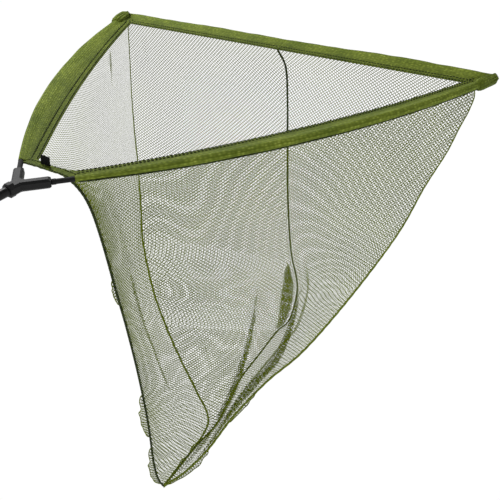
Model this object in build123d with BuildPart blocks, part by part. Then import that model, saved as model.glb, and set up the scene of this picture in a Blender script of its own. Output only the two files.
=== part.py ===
"""Triangular landing net: a Y spreader, two bowed arms, a mesh bag and a telescopic handle.

Frame: +X from the handle towards the net, +Y to the net's left, +Z up. The rim lies in the XY
plane and the bag hangs below it. The origin is on the handle's axis, in the middle of the grip.
Lengths are in millimetres. Head coordinates are measured from the junction of the spreader.
"""
import os
from math import cos, radians, sin

from build123d import *

os.makedirs("parts", exist_ok=True)

# ---------------------------------------------------------------- driving dimensions
HANDLE_LENGTH = 1800.0      # butt end to front face, extended
GRIP_FROM_BUTT = 300.0      # the origin, ahead of the butt end
TRAVEL = 840.0              # how far the butt section slides up the tip section
WASHER_THICKNESS = 1.6

STEM_LENGTH = 18.0          # junction to the rear face of the block
STEM_DIAMETER = 21.5
SOCKET_LENGTH = 50.0        # junction to the mouth of an arm socket
SOCKET_WIDTH = 15.5
SOCKET_DEPTH = 38.0
STUD_DIAMETER = 9.525       # 3/8 inch BSF
STUD_LENGTH = 17.0
THREAD_PITCH = 1.27
THREAD_DEPTH = 0.8

ARM_DIAMETER = 7.2
ARM_ANGLE = 44.0            # arm to the net's centre line at the block
ARM_TIP_ANGLE = 16.0        # the same at the tip, after the bow
ARM_STRAIGHT = 60.0         # junction to the start of the bow
ARM_BOW = 862.0             # length of the bow

SLEEVE_START = 85.0         # junction to the start of the side sleeves, along the arm
SLEEVE_WIDTH = 48.0         # arm's axis to the sleeve's inner edge
SLEEVE_TUBE = 12.0
SLEEVE_CLEARANCE = 0.2      # on the radius, between an arm and its sleeve
CLOTH = 2.0                 # thickness of a doubled sleeve, and of a mesh panel
CORD_DIAMETER = 4.0
SEAM = 3.0

FRONT_FACE = HANDLE_LENGTH - GRIP_FROM_BUTT
BLOCK_REAR = FRONT_FACE + WASHER_THICKNESS
HEAD = BLOCK_REAR + STEM_LENGTH

# The hanging bag, level by level, in head coordinates: depth, x of the rear seam, then on the
# left half the end of the hem, the middle of the side panel and the corner seam, and last the
# x of the centre seam. The lowest levels follow the keel.
BAG = [
    (6.0, 76.0, (86.0, 31.0), (400.0, 246.0), (731.0, 416.0), 738.0),
    (60.0, 116.0, (124.0, 22.0), (396.0, 238.0), (738.0, 412.0), 742.0),
    (180.0, 145.0, (154.0, 16.0), (392.0, 220.0), (705.0, 394.0), 748.0),
    (350.0, 160.0, (168.0, 14.0), (390.0, 190.0), (634.0, 339.0), 752.0),
    (550.0, 172.0, (180.0, 12.0), (345.0, 140.0), (517.0, 246.0), 768.0),
    (700.0, 174.0, (182.0, 10.0), (275.0, 80.0), (378.0, 136.0), 785.0),
    (770.0, 174.0, (181.0, 9.0), (250.0, 59.0), (332.0, 97.0), 700.0),
    (860.0, 186.0, (191.0, 6.0), (230.0, 31.0), (272.0, 50.0), 430.0),
    (908.0, 204.0, (206.0, 3.0), (210.0, 6.0), (216.0, 8.0), 226.0),
]


def save(piece, name):
    """Label a finished piece and write it as its own STEP file."""
    piece.part.label = name
    export_step(piece.part, f"parts/{name}.step")


# ---------------------------------------------------------------- spreader block
def socket_end(side, along=SOCKET_LENGTH):
    """A point on the axis of the left (+1) or right (-1) arm socket."""
    angle = radians(ARM_ANGLE) * side
    return HEAD + along * cos(angle), along * sin(angle)


def socket_plane(side, along):
    """The plane square to an arm's straight part, facing the tip."""
    x, y = socket_end(side, along)
    angle = radians(ARM_ANGLE) * side
    along_arm = (cos(angle), sin(angle), 0)
    across = (-sin(angle), cos(angle), 0)
    return Plane(origin=(x, y, 0), z_dir=along_arm, x_dir=across)


FACET = 3.4                 # the chamfer round the top and bottom faces
FACET_ANGLE = 44.0
CROTCH_RADIUS = 7.0
STEM_OVERLAP = 4.0          # how far the stem's outline runs in between the sockets
SHANK_LENGTH = 12.0         # the stud's plain end, moulded into the stem
SIDE_WALL = SOCKET_WIDTH / 2 - FACET
FIT = 0.05                  # clearance of an arm in its socket, on the radius


def block_outline(height):
    """The block's Y outline with its rounded crotch, drawn at a height."""
    with BuildSketch(Plane.XY.offset(height)) as outline:
        with Locations((HEAD - STEM_LENGTH / 2 + STEM_OVERLAP / 2, 0)):
            Rectangle(STEM_LENGTH + STEM_OVERLAP, STEM_DIAMETER)
        for side in (1, -1):
            with Locations(Location((*socket_end(side, SOCKET_LENGTH / 2), 0), side * ARM_ANGLE)):
                Rectangle(SOCKET_LENGTH, SOCKET_WIDTH)
        crotch = outline.vertices().filter_by(lambda v: abs(v.Y) < 0.1 and v.X > HEAD)
        fillet(crotch, CROTCH_RADIUS)
    return outline.sketch


with BuildPart() as spreader_block:
    add(block_outline(-SIDE_WALL))
    extrude(amount=2 * SIDE_WALL)
    extrude(to_extrude=block_outline(SIDE_WALL), amount=FACET, taper=FACET_ANGLE)
    mirror(about=Plane.XY)
    stem_core = Plane(origin=(HEAD - STEM_LENGTH, 0, 0), z_dir=(1, 0, 0))
    with BuildSketch(stem_core):
        RegularPolygon(STEM_DIAMETER / 2, 8, major_radius=False, rotation=22.5)
    extrude(amount=STEM_LENGTH * 0.55)
    chamfer(spreader_block.faces().sort_by(Axis.X)[0].edges(), 1.4)
    for side in (1, -1):
        with BuildSketch(socket_plane(side, SOCKET_LENGTH)):
            Circle(ARM_DIAMETER / 2 + FIT)
        extrude(amount=-SOCKET_DEPTH, mode=Mode.SUBTRACT)
    with BuildSketch(stem_core):
        Circle(STUD_DIAMETER / 2)
    extrude(amount=SHANK_LENGTH, mode=Mode.SUBTRACT)
save(spreader_block, "spreader_block")

# ---------------------------------------------------------------- brass stud
major = STUD_DIAMETER / 2
minor = major - THREAD_DEPTH
stud_tip = BLOCK_REAR - STUD_LENGTH
shank_end = BLOCK_REAR + SHANK_LENGTH
THREAD_START = BLOCK_REAR - 2.0
LEAD_IN = 1.6
GROOVES = 9

with BuildPart() as spreader_stud:
    with BuildSketch(Plane.XY):
        with BuildLine():
            outline = [(shank_end, 0), (shank_end, major), (THREAD_START, major)]
            for groove in range(GROOVES):
                root = THREAD_START - (groove + 0.5) * THREAD_PITCH
                outline += [(root, minor), (root - THREAD_PITCH / 2, major)]
            outline += [(stud_tip + LEAD_IN, minor), (stud_tip, minor - LEAD_IN), (stud_tip, 0)]
            Polyline(*outline, close=True)
        make_face()
    revolve(axis=Axis.X)
save(spreader_stud, "spreader_stud")

WASHER_DIAMETER = 14.0
WASHER_CLEARANCE = 0.15

with BuildPart() as stud_washer:
    with BuildSketch(Plane(origin=(FRONT_FACE, 0, 0), z_dir=(1, 0, 0))):
        Circle(WASHER_DIAMETER / 2)
        Circle(STUD_DIAMETER / 2 + WASHER_CLEARANCE, mode=Mode.SUBTRACT)
    extrude(amount=WASHER_THICKNESS)
save(stud_washer, "stud_washer")


# ---------------------------------------------------------------- arms, tip caps and sleeves
BOW_RADIUS = ARM_BOW / radians(ARM_ANGLE - ARM_TIP_ANGLE)


def arm_path(side, start, end):
    """Centre line of an arm between two distances from the junction: straight, then bowed."""
    with BuildLine() as path:
        if start < ARM_STRAIGHT:
            straight = Line(socket_end(side, start), socket_end(side, ARM_STRAIGHT))
            joint, heading = straight @ 1, straight % 1
            turned = 0.0
        else:
            turned = (ARM_ANGLE - ARM_TIP_ANGLE) * (start - ARM_STRAIGHT) / ARM_BOW
            joint, heading = bow_point(side, turned)
        sweep_angle = (ARM_ANGLE - ARM_TIP_ANGLE) * (end - ARM_STRAIGHT) / ARM_BOW - turned
        JernArc(start=joint, tangent=heading, radius=BOW_RADIUS, arc_size=-side * sweep_angle)
    return path.wires()[0]


def bow_point(side, turned):
    """Position and direction on the bow after it has turned by so many degrees."""
    x0, y0 = socket_end(1, ARM_STRAIGHT)
    start, now = radians(ARM_ANGLE), radians(ARM_ANGLE - turned)
    x = x0 + BOW_RADIUS * (sin(start) - sin(now))
    y = y0 + BOW_RADIUS * (cos(now) - cos(start))
    return (x, side * y), (cos(now), side * sin(now))


ARM_START = SOCKET_LENGTH - SOCKET_DEPTH + 0.5
ARM_END = ARM_STRAIGHT + ARM_BOW - 6
TIP_CAP_LENGTH = 24.0
TIP_CAP_BORE = 17.0         # how far the arm goes into its tip cap
TIP_CAP_DIAMETER = 11.0
TIP_CAP_ROUND = 4.5
EYE_THICKNESS = 5.0
EYE_WALL = 2.5
EYE_CLEARANCE = 0.4
SLEEVE_END = ARM_END - 50.0  # leaves the front cord clear when an arm is pulled out

for side, hand in ((1, "left"), (-1, "right")):
    with BuildPart() as arm:
        with BuildSketch(socket_plane(side, ARM_START)):
            Circle(ARM_DIAMETER / 2)
        sweep(path=arm_path(side, ARM_START, ARM_END))
    save(arm, f"arm_{hand}")

    tip_turn = (ARM_ANGLE - ARM_TIP_ANGLE) * (ARM_END - ARM_STRAIGHT) / ARM_BOW
    (tip_x, tip_y), (dir_x, dir_y) = bow_point(side, tip_turn)
    tip_plane = Plane(origin=(tip_x, tip_y, 0), z_dir=(dir_x, dir_y, 0))
    with BuildPart() as arm_tip:
        with BuildSketch(tip_plane.offset(-TIP_CAP_BORE)):
            Circle(TIP_CAP_DIAMETER / 2)
        extrude(amount=TIP_CAP_LENGTH)
        cap_end = arm_tip.faces().sort_by(Axis((0, 0, 0), (dir_x, dir_y, 0)))[-1]
        fillet(cap_end.edges(), TIP_CAP_ROUND)
        eye_x, eye_y = tip_x, tip_y - side * (TIP_CAP_DIAMETER / 2 + CORD_DIAMETER / 2)
        eye_plane = Plane(origin=(eye_x, eye_y, 0), z_dir=(0, side, 0))
        with BuildSketch(eye_plane.offset(-EYE_THICKNESS / 2)):
            Circle(CORD_DIAMETER / 2 + EYE_WALL)
        extrude(amount=EYE_THICKNESS)
        with BuildSketch(tip_plane.offset(-TIP_CAP_BORE)):
            Circle(ARM_DIAMETER / 2)
        extrude(amount=TIP_CAP_BORE, mode=Mode.SUBTRACT)
        with BuildSketch(eye_plane.offset(-EYE_THICKNESS)):
            Circle(CORD_DIAMETER / 2 + EYE_CLEARANCE)
        extrude(amount=EYE_THICKNESS * 1.5, mode=Mode.SUBTRACT)
    save(arm_tip, f"arm_tip_{hand}")

    start_turn = (ARM_ANGLE - ARM_TIP_ANGLE) * (SLEEVE_START - ARM_STRAIGHT) / ARM_BOW
    (sleeve_x, sleeve_y), (run_x, run_y) = bow_point(side, start_turn)
    sleeve_plane = Plane(
        origin=(sleeve_x, sleeve_y, 0), z_dir=(run_x, run_y, 0), x_dir=(side * run_y, -side * run_x, 0))
    with BuildPart() as sleeve:
        with BuildSketch(sleeve_plane):
            Circle(SLEEVE_TUBE / 2)
            with Locations((SLEEVE_WIDTH / 2, 0)):
                Rectangle(SLEEVE_WIDTH, CLOTH)
            Circle(ARM_DIAMETER / 2 + SLEEVE_CLEARANCE, mode=Mode.SUBTRACT)
        sweep(path=arm_path(side, SLEEVE_START, SLEEVE_END))
    save(sleeve, f"sleeve_{hand}")

# ---------------------------------------------------------------- front cord and its sleeve
(corner_x, corner_y), _ = bow_point(1, ARM_ANGLE - ARM_TIP_ANGLE)
FRONT_X = corner_x
CORD_HALF = corner_y - 16.0
FRONT_SLEEVE_HALF = corner_y - 66.0
FRONT_TUBE = CORD_DIAMETER + 4.0
FRONT_FLAP = 42.0

with BuildPart() as front_cord:
    with BuildSketch(Plane(origin=(FRONT_X, -CORD_HALF, 0), z_dir=(0, 1, 0))):
        Circle(CORD_DIAMETER / 2)
    extrude(amount=2 * CORD_HALF)
save(front_cord, "front_cord")

with BuildPart() as sleeve_front:
    with BuildSketch(Plane(origin=(FRONT_X, -FRONT_SLEEVE_HALF, 0), z_dir=(0, 1, 0), x_dir=(-1, 0, 0))):
        Circle(FRONT_TUBE / 2)
        with Locations((FRONT_FLAP / 2, 0)):
            Rectangle(FRONT_FLAP, CLOTH)
        Circle(CORD_DIAMETER / 2, mode=Mode.SUBTRACT)
    extrude(amount=2 * FRONT_SLEEVE_HALF)
save(sleeve_front, "sleeve_front")

# ---------------------------------------------------------------- rear hem and label
HEM_REAR, HEM_REAR_HALF = HEAD + 61.7, 51.0
HEM_FRONT, HEM_FRONT_HALF = HEAD + 79.0, 36.0

with BuildPart() as rear_hem:
    with BuildSketch(Plane.XY.offset(-CLOTH / 2)):
        with BuildLine():
            Polyline(
                (HEM_REAR, HEM_REAR_HALF), (HEM_FRONT, HEM_FRONT_HALF),
                (HEM_FRONT, -HEM_FRONT_HALF), (HEM_REAR, -HEM_REAR_HALF), close=True)
        make_face()
    extrude(amount=CLOTH)
save(rear_hem, "rear_hem")

LABEL_WIDTH, LABEL_HEIGHT, LABEL_THICKNESS = 19.0, 12.0, 0.8
LABEL_X, LABEL_Y = HEAD + 70.0, 12.5     # stands on the hem, to the left of its middle

with BuildPart() as label_tag:
    with BuildSketch(Plane(origin=(LABEL_X, LABEL_Y, CLOTH / 2))):
        Rectangle(LABEL_THICKNESS, LABEL_WIDTH)
    extrude(amount=LABEL_HEIGHT)
save(label_tag, "label_tag")


# ---------------------------------------------------------------- mesh bag
def inward(point, level):
    """The point moved one cloth thickness towards the middle of the bag at that level."""
    centre = Vector(0.5 * (level[1] + level[-1]), 0)
    away = Vector(*point) - centre
    shorter = away * (1 - min(CLOTH, 0.4 * away.length) / away.length)
    return centre.X + shorter.X, shorter.Y


def mesh_panel(edge_of):
    """A panel between two seams, lofted down through the levels of the bag."""
    with BuildPart() as panel:
        for level in BAG:
            outer = edge_of(level)
            inner = [inward(point, level) for point in outer]
            with BuildSketch(Plane.XY.offset(-level[0])):
                with BuildLine():
                    Polyline(*[(HEAD + x, y) for x, y in outer + inner[::-1]], close=True)
                make_face()
        loft(ruled=True)
    return panel


def seam(point_of):
    """A sewn seam: a square rope lofted through one point at each level of the bag."""
    with BuildPart() as rope:
        for level in BAG:
            x, y = point_of(level)
            with BuildSketch(Plane(origin=(HEAD + x, y, -level[0]))):
                Rectangle(SEAM, SEAM)
        loft(ruled=True)
    return rope


SEAM_GAP = 1.0              # from the middle plane to the edge of a panel

for side, hand in ((1, "left"), (-1, "right")):
    def side_edge(level):
        """Outer edge of a side panel, from the rear seam round to the corner seam."""
        return [(level[1], side * SEAM_GAP)] + [(x, side * y) for x, y in level[2:5]]

    def front_edge(level):
        """Outer edge of a front panel, from the corner seam to the centre seam."""
        return [(level[4][0], side * level[4][1]), (level[5], side * SEAM_GAP)]

    def corner(level):
        """Where the corner seam is."""
        return level[4][0], side * level[4][1]

    save(mesh_panel(side_edge), f"net_{hand}")
    save(mesh_panel(front_edge), f"net_front_{hand}")
    save(seam(corner), f"corner_seam_{hand}")
save(seam(lambda level: (level[1], 0)), "rear_seam")
save(seam(lambda level: (level[5], 0)), "centre_seam")


# ---------------------------------------------------------------- handle
def turned_piece(outline):
    """A round piece on the handle's axis, from its half outline as (x, radius) points."""
    with BuildPart() as piece:
        with BuildSketch(Plane.XY):
            with BuildLine():
                Polyline(*outline, close=True)
            make_face()
        revolve(axis=Axis.X)
    return piece


FLANGE = 2.0
FERRULE_LENGTH = 26.0
TIP_FRONT_RADIUS = 7.5
TIP_REAR_RADIUS = 8.3
TIP_WALL = 1.2
TIP_REAR = FRONT_FACE - 930.0
TIP_PARALLEL = TIP_REAR + 90.0       # behind this the tip section doesn't taper
BUTT_RADIUS = 11.0
BUTT_BORE = 9.2
BUTT_FRONT = FRONT_FACE - TRAVEL - 10.0
CAP_WALL = 12.0
CAP_LENGTH = 45.0
CAP_RADIUS = 13.5
COLLAR_LENGTH = 42.0
COLLAR_RADIUS = 12.6
BUTT_END = -GRIP_FROM_BUTT

tube_front = FRONT_FACE - FLANGE
save(turned_piece([
    (TIP_REAR, TIP_REAR_RADIUS - TIP_WALL), (TIP_REAR, TIP_REAR_RADIUS), (TIP_PARALLEL, TIP_REAR_RADIUS),
    (tube_front, TIP_FRONT_RADIUS), (tube_front, TIP_FRONT_RADIUS - TIP_WALL),
    (tube_front - FERRULE_LENGTH, TIP_FRONT_RADIUS - TIP_WALL),
    (TIP_PARALLEL, TIP_REAR_RADIUS - TIP_WALL),
]), "handle_tip_section")

stud_bore = STUD_DIAMETER / 2 + 0.1
ferrule_body = TIP_FRONT_RADIUS - TIP_WALL
save(turned_piece([
    (FRONT_FACE, stud_bore), (FRONT_FACE, TIP_FRONT_RADIUS), (tube_front, TIP_FRONT_RADIUS),
    (tube_front, ferrule_body), (tube_front - FERRULE_LENGTH + 2, ferrule_body),
    (tube_front - FERRULE_LENGTH + 2, 0), (tube_front - FERRULE_LENGTH + 5, 0),
    (tube_front - FERRULE_LENGTH + 5, stud_bore),
]), "handle_ferrule")

bush_front = BUTT_FRONT - 1.0
bush_rear = bush_front - 60.0
save(turned_piece([
    (bush_rear, TIP_REAR_RADIUS), (bush_rear, BUTT_BORE - 0.3), (bush_rear + 1, BUTT_BORE - 0.1),
    (bush_front - 1, BUTT_BORE - 0.1), (bush_front, BUTT_BORE - 0.3), (bush_front, TIP_REAR_RADIUS),
]), "handle_tip_bush")

save(turned_piece([
    (BUTT_END + CAP_WALL, BUTT_BORE), (BUTT_END + CAP_WALL, BUTT_RADIUS), (BUTT_FRONT, BUTT_RADIUS),
    (BUTT_FRONT, BUTT_BORE),
]), "handle_butt_section")

lip_bore = TIP_REAR_RADIUS + 0.1
save(turned_piece([
    (BUTT_FRONT - COLLAR_LENGTH, BUTT_RADIUS), (BUTT_FRONT - COLLAR_LENGTH, COLLAR_RADIUS - 0.6),
    (BUTT_FRONT - COLLAR_LENGTH + 1.5, COLLAR_RADIUS), (BUTT_FRONT + 2, COLLAR_RADIUS),
    (BUTT_FRONT + 4, COLLAR_RADIUS - 2), (BUTT_FRONT + 4, lip_bore), (BUTT_FRONT, lip_bore),
    (BUTT_FRONT, BUTT_RADIUS),
]), "handle_collar")

with BuildPart() as butt_cap:
    with BuildSketch(Plane.XY):
        with BuildLine():
            Polyline(
                (BUTT_END, 0), (BUTT_END, CAP_RADIUS), (BUTT_END + CAP_LENGTH, CAP_RADIUS - 0.8),
                (BUTT_END + CAP_LENGTH, BUTT_RADIUS), (BUTT_END + CAP_WALL, BUTT_RADIUS),
                (BUTT_END + CAP_WALL, 0), close=True)
        make_face()
    revolve(axis=Axis.X)
    fillet(butt_cap.edges().filter_by(GeomType.CIRCLE).sort_by(Axis.X)[0], 4.0)
save(butt_cap, "handle_butt_cap")
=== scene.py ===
"""The landing net's looks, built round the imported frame. Lengths are in metres.

Points of the net are in head coordinates: measured from the junction of the spreader, with +X
towards the front cord, +Y to the net's left and +Z up. new_mesh moves them to the frame.
"""
from math import cos, pi, radians, sin, tau

import bpy
import numpy as np
from mathutils import Matrix, Vector


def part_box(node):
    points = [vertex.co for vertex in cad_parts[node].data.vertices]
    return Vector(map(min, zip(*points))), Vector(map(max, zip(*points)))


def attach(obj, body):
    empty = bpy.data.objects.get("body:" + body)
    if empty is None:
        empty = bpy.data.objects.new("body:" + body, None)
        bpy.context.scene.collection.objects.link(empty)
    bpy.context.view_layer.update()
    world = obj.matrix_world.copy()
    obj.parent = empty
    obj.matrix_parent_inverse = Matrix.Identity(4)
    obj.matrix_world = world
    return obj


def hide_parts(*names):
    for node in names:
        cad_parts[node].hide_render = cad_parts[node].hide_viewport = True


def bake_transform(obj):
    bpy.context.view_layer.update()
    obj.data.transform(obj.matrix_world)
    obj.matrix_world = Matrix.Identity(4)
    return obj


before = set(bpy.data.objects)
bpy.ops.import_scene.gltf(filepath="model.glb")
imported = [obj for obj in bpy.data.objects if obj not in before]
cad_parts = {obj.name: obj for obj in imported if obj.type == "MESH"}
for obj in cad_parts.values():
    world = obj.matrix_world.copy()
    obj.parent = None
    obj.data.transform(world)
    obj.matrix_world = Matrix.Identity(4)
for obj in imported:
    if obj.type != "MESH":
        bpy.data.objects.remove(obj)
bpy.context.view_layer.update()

# ------------------------ driving dimensions
STEM_LENGTH = 0.018
HEAD = np.array([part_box("spreader_block")[0].x + STEM_LENGTH, 0, 0])
ARM_ANGLE, ARM_TIP_ANGLE = radians(44), radians(16)
ARM_STRAIGHT, ARM_BOW = 0.060, 0.862
BOW_RADIUS = ARM_BOW / (ARM_ANGLE - ARM_TIP_ANGLE)
SLEEVE_START, SLEEVE_END = 0.085, 0.912  # along the arm, from the junction
CORD_X = 0.782  # the front cord
FRONT_EDGE = 0.735  # the front sleeve's inner edge
FRONT_HALF, CORD_HALF = 0.468, 0.462  # from the middle to an end of the front sleeve and of the cord
CORNER_Y = 0.421  # where the inner edges of the sleeves meet
CELL_WIDTH, CELL_HEIGHT = 0.0044, 0.0074  # columns of mesh cells, drawn out by the weight of the bag
CELL_SLANT = 0.11  # sideways drift of the columns on their way down
OPENING = 0.45  # the columns are this share wider at the bottom of the bag
FRILL_OPENING = -0.45  # the same for the frills, whose columns close up
STRAND = 0.00148  # width of the flat mesh yarn
RIDGE = 0.00013  # half its thickness

SIDES = ((1, "left"), (-1, "right"))


# ------------------------ mesh helpers
def new_mesh(name, points, quads, material, uv=None, smooth=True):
    """A mesh object from head coordinates and four-sided faces, with an optional bake layout."""
    mesh = bpy.data.meshes.new(name)
    points = np.asarray(points, float) + HEAD
    quads = np.asarray(quads, int)
    mesh.vertices.add(len(points))
    mesh.vertices.foreach_set("co", points.astype(np.float32).ravel())
    mesh.loops.add(quads.size)
    mesh.loops.foreach_set("vertex_index", quads.astype(np.int32).ravel())
    mesh.polygons.add(len(quads))
    mesh.polygons.foreach_set("loop_start", np.arange(0, quads.size, 4, dtype=np.int32))
    mesh.update(calc_edges=True)
    if uv is not None:
        layer = mesh.uv_layers.new(name="OFBake")
        layer.data.foreach_set("uv", np.asarray(uv, np.float32)[quads.ravel()].ravel())
    if smooth:
        mesh.polygons.foreach_set("use_smooth", np.ones(len(quads), bool))
    mesh.materials.append(material)
    made = bpy.data.objects.new(name, mesh)
    bpy.context.scene.collection.objects.link(made)
    return made


def ring_quads(count, around):
    """Faces between closed rings of points."""
    ring, place = np.meshgrid(np.arange(count - 1), np.arange(around), indexing="ij")
    a = (ring * around + place).ravel()
    b = (ring * around + (place + 1) % around).ravel()
    return np.stack([a, b, b + around, a + around], 1)


def capped_tube(rings):
    """Points and faces of a closed tube through rings of points, its ends drawn to a centre."""
    count, around = rings.shape[:2]
    first = np.repeat(rings[:1].mean(1, keepdims=True), around, 1)
    last = np.repeat(rings[-1:].mean(1, keepdims=True), around, 1)
    rings = np.concatenate([first, rings, last])
    return rings.reshape(-1, 3), ring_quads(count + 2, around)


def run_along(line):
    """Distances along a line to each of its points."""
    return np.r_[0, np.cumsum(np.linalg.norm(np.diff(line, axis=0), axis=1))]


def points_at(at, run, line):
    """Points of a line at distances along it."""
    return np.stack([np.interp(at, run, line[:, k]) for k in range(3)], -1)


def evenly(line, count):
    """The line again, as evenly spaced points."""
    run = run_along(line)
    return points_at(np.linspace(0, run[-1], count), run, line)


def smooth_line(points, count):
    """A smooth line through given points, as evenly spaced points."""
    p = np.array(points, float)
    ends = np.vstack([2 * p[0] - p[1], p, 2 * p[-1] - p[-2]])
    t = np.linspace(0, 1, 24, endpoint=False)[:, None]
    spans = [
        0.5 * (2 * b + (c - a) * t + (2 * a - 5 * b + 4 * c - d) * t**2 + (3 * b - a - 3 * c + d) * t**3)
        for a, b, c, d in zip(ends, ends[1:], ends[2:], ends[3:])
    ]
    return evenly(np.vstack(spans + [p[-1:]]), count)


def unit(vectors):
    """Vectors of length one."""
    return vectors / np.maximum(np.linalg.norm(vectors, axis=-1, keepdims=True), 1e-12)


def frames_along(line):
    """Direction, sideways and upright unit vectors at every point of a line."""
    along = unit(np.gradient(line, axis=0))
    sideways = unit(np.cross((0, 0, 1), along))
    return along, sideways, np.cross(along, sideways)


def ripple(at, lengths, seed):
    """A repeatable uneven wave, about one high, made of sines of the given lengths."""
    rng = np.random.default_rng(seed)
    return sum(np.sin(tau * at / length + rng.uniform(0, tau)) for length in lengths) / len(lengths)


ROPE_STRANDS = 3


def rope(name, line, radius, material, twist=0.006, depth=0.18, around=10):
    """A twisted seam or cord along a line, its strands winding round it once in each length of twist."""
    _, sideways, upright = frames_along(line)
    run = run_along(line)
    angle = np.linspace(0, tau, around, endpoint=False)
    swell = 1 + depth * np.cos(ROPE_STRANDS * angle[None] - tau * run[:, None] / twist)
    ring = sideways[:, None] * np.cos(angle)[:, None] + upright[:, None] * np.sin(angle)[:, None]
    radius = np.broadcast_to(radius, run.shape)
    points, quads = capped_tube(line[:, None] + ring * (radius[:, None] * swell)[..., None])
    return new_mesh(name, points, quads, material)


def lay_weave(piece, quads, weave):
    """The layout of a piece's knit, in metres along and across the cloth."""
    layer = piece.data.uv_layers.new(name="Weave")
    layer.data.foreach_set("uv", weave[quads.ravel()].astype(np.float32).ravel())


def follow_arm(piece):
    """Bakes a piece of cloth's placement into its mesh."""
    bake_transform(piece)


# ------------------------ materials
def material(name, **sockets):
    """A principled material with plain constants on its own sockets."""
    made = bpy.data.materials.new(name)
    made.use_nodes = True
    shader = made.node_tree.nodes["Principled BSDF"]
    for socket, value in sockets.items():
        shader.inputs[socket.replace("_", " ")].default_value = value
    return made, made.node_tree, shader


def add_node(tree, kind, links=(), **settings):
    """A node with its settings, and its inputs linked or set."""
    node = tree.nodes.new(kind)
    for key, value in settings.items():
        setattr(node, key, value)
    for socket, value in dict(links).items():
        if isinstance(value, bpy.types.NodeSocket):
            tree.links.new(value, node.inputs[socket])
        else:
            node.inputs[socket].default_value = value
    return node


def colour_ramp(tree, factor, stops):
    """A colour ramp over a factor, from (position, colour) stops."""
    ramp = add_node(tree, "ShaderNodeValToRGB", {"Fac": factor})
    elements = ramp.color_ramp.elements
    while len(elements) < len(stops):
        elements.new(0.5)
    for element, (position, colour) in zip(elements, stops):
        element.position = position
        element.color = (*colour, 1)
    return ramp.outputs["Color"]


MIX_FIRST, MIX_SECOND, MIXED = 6, 7, 2  # the colour sockets of a mix node, whose names repeat


def multiply_colours(tree, first, second):
    """One colour multiplied by another."""
    links = {"Factor": 1.0, MIX_FIRST: first, MIX_SECOND: second}
    return add_node(tree, "ShaderNodeMix", links, data_type="RGBA", blend_type="MULTIPLY").outputs[MIXED]


def paint(tree, shader, factor, stops):
    """Colours a shader by a ramp over a factor."""
    tree.links.new(colour_ramp(tree, factor, stops), shader.inputs["Base Color"])


def vary_roughness(tree, shader, factor, low, high):
    """Spreads a shader's roughness between two values by a factor."""
    spread = add_node(tree, "ShaderNodeMapRange", {"Value": factor, "To Min": low, "To Max": high})
    tree.links.new(spread.outputs["Result"], shader.inputs["Roughness"])


def bump(tree, shader, height, strength, distance):
    """Feeds a height into a shader's normal."""
    node = add_node(tree, "ShaderNodeBump", {"Height": height, "Strength": strength, "Distance": distance})
    tree.links.new(node.outputs["Normal"], shader.inputs["Normal"])


def noise(tree, scale, detail=3.0, rough=0.5):
    """A noise texture in the object's own coordinates."""
    where = add_node(tree, "ShaderNodeTexCoord").outputs["Object"]
    links = {"Vector": where, "Scale": scale, "Detail": detail, "Roughness": rough}
    return add_node(tree, "ShaderNodeTexNoise", links).outputs["Fac"]


def mesh_yarn():
    """Olive knotless mesh yarn, a little uneven in colour."""
    made, tree, shader = material("mesh_yarn", Roughness=0.8, Specular_IOR_Level=0.08)
    patches = noise(tree, 9.0, 2.0)
    paint(tree, shader, patches, [(0.35, (0.108, 0.140, 0.003)), (0.65, (0.150, 0.190, 0.006))])
    return made


SECTION_GIRTH = 0.105  # once round a sleeve's section
HOLE_TINT = [(0.10, (1.75, 1.6, 2.3)), (0.26, (1.05, 1.05, 1.05)), (0.60, (0.68, 0.70, 0.60))]
# painted light and shade round a sleeve: a painted highlight over the top of the arm, painted shade over the
# sewn strip and the underside
GIRTH_LIGHT_AND_SHADE = [  # by share of the girth, from the top of the arm over the sewn edge and back
    (0.0, (1.22, 1.22, 1.35)), (0.24, (0.96, 0.96, 0.96)), (0.30, (0.80, 0.82, 0.75)),
    (0.52, (0.76, 0.78, 0.70)), (0.85, (0.80, 0.82, 0.75)), (1.0, (1.22, 1.22, 1.35))]


def sleeve_cloth():
    """Green tricot: rows of small pale holes over a darker ground, with painted highlight and shade round
    the girth.
    """
    made, tree, shader = material("sleeve_cloth", Roughness=0.75, Specular_IOR_Level=0.12)
    weave = add_node(tree, "ShaderNodeUVMap", uv_map="Weave").outputs["UV"]
    places = {"Vector": weave, "Scale": (0.55, 1.0, 1.0)}
    stretched = add_node(tree, "ShaderNodeMapping", places).outputs["Vector"]
    dots = {"Vector": stretched, "Scale": 230.0, "Randomness": 0.5}
    holes = add_node(tree, "ShaderNodeTexVoronoi", dots).outputs["Distance"]
    rows = {"Vector": weave, "Scale": 75.0, "Distortion": 1.5, "Detail": 1.0}
    ribs = add_node(tree, "ShaderNodeTexWave", rows, bands_direction="Y").outputs["Fac"]
    patches = noise(tree, 16.0, 5.0)
    base = colour_ramp(tree, patches, [(0.30, (0.088, 0.122, 0.010)), (0.70, (0.148, 0.187, 0.020))])
    tint = colour_ramp(tree, holes, HOLE_TINT)
    girth = add_node(tree, "ShaderNodeSeparateXYZ", {"Vector": weave}).outputs["Y"]
    share = add_node(tree, "ShaderNodeMath", {0: girth, 1: SECTION_GIRTH}, operation="DIVIDE").outputs[0]
    tinted = multiply_colours(tree, base, tint)
    # painted highlight over the top of the arm and painted shade over the strip and underside, by share of
    # the girth
    light_and_shade_painted = multiply_colours(tree, tinted, colour_ramp(tree, share, GIRTH_LIGHT_AND_SHADE))
    tree.links.new(light_and_shade_painted, shader.inputs["Base Color"])
    height = add_node(tree, "ShaderNodeMath", {0: ribs, 1: holes}, operation="SUBTRACT").outputs[0]
    bump(tree, shader, height, 0.6, 0.0006)
    return made


def yarn(name, dark, light, scale):
    """Spun thread in two shades."""
    made, tree, shader = material(name, Roughness=0.7, Specular_IOR_Level=0.12)
    paint(tree, shader, noise(tree, scale), [(0.35, dark), (0.65, light)])
    return made


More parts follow.
